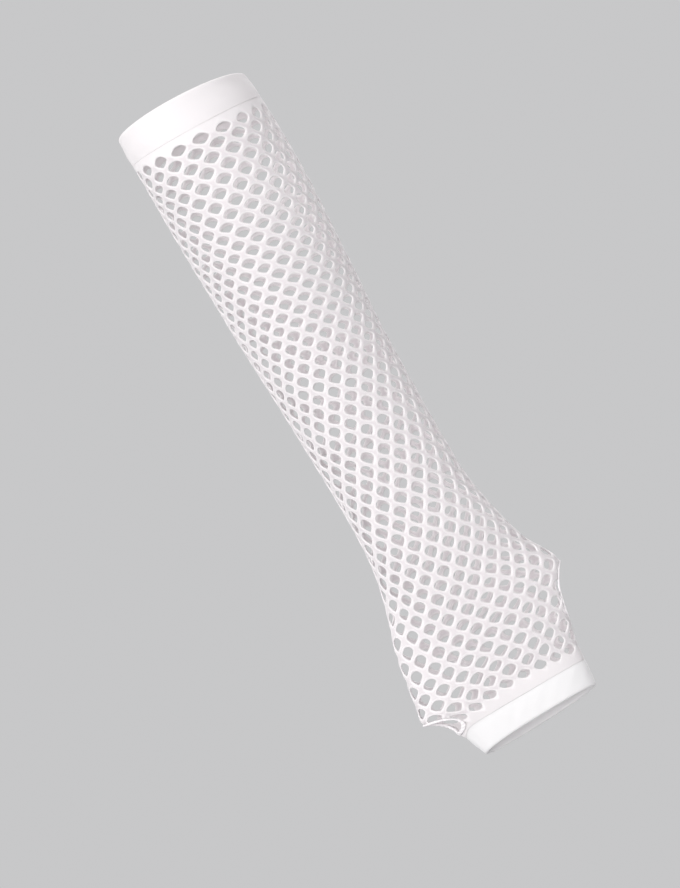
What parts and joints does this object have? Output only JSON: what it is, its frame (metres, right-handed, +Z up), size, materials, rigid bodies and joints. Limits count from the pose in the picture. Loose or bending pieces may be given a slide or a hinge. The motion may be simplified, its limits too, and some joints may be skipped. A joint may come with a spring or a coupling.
{
  "type": "fishnet fingerless glove",
  "caption": "Long knitted net sleeve for a forearm and hand, with a plain band at the elbow, a band round the fingers, and holes for the thumb and the little finger.",
  "frame": {"origin": "centre of the elbow opening, where the arm goes in", "axes": "+Z up the arm, from the fingers to the elbow; +X toward the thumb; -Y is the back of the hand"},
  "size_m": [0.0948, 0.0624, 0.3412],
  "materials": {
    "band_knit": "fine white plain knit, matt",
    "net_yarn": "white knitted net, soft and matt",
    "edge_strand": "smooth white strand, matt"
  },
  "bodies": {
    "root": {"elbow_band": "band_knit", "net_sleeve": "net_yarn", "finger_band": "band_knit", "thumb_hole_edge": "edge_strand", "little_finger_hole_edge": "edge_strand"}
  },
  "joints": []
}
